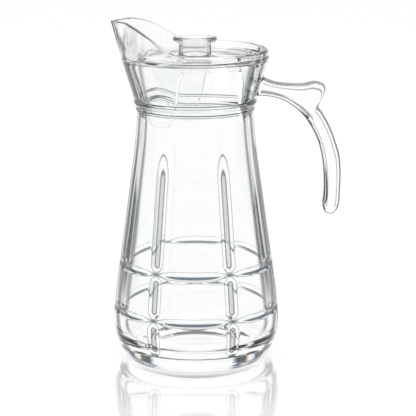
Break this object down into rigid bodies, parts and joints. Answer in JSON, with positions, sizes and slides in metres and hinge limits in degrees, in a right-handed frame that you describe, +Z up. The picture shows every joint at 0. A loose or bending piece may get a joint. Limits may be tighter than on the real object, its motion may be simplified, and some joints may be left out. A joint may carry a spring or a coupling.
{
  "type": "glass pitcher with lid",
  "caption": "Clear glass jug with a fluted belly, pinched spout, free-ended glass handle and a lift-off clear lid with a hollow knob.",
  "frame": {"origin": "centre of the foot ring, on the surface that the jug stands on", "axes": "+Z up along the body's axis, +X towards the handle, -X towards the spout"},
  "size_m": [0.1646, 0.1206, 0.245],
  "materials": {
    "glass": "clear pressed glass, polished",
    "lid_plastic": "clear moulded plastic, glossy"
  },
  "bodies": {
    "jug": {"jug_body": "glass", "handle": "glass"},
    "lid": {"lid": "lid_plastic"}
  },
  "joints": [
    {"name": "lid_lift", "type": "slide", "parent": "jug", "child": "lid", "axis": [0, 0, 1], "range_m": [0, 0.09]}
  ]
}
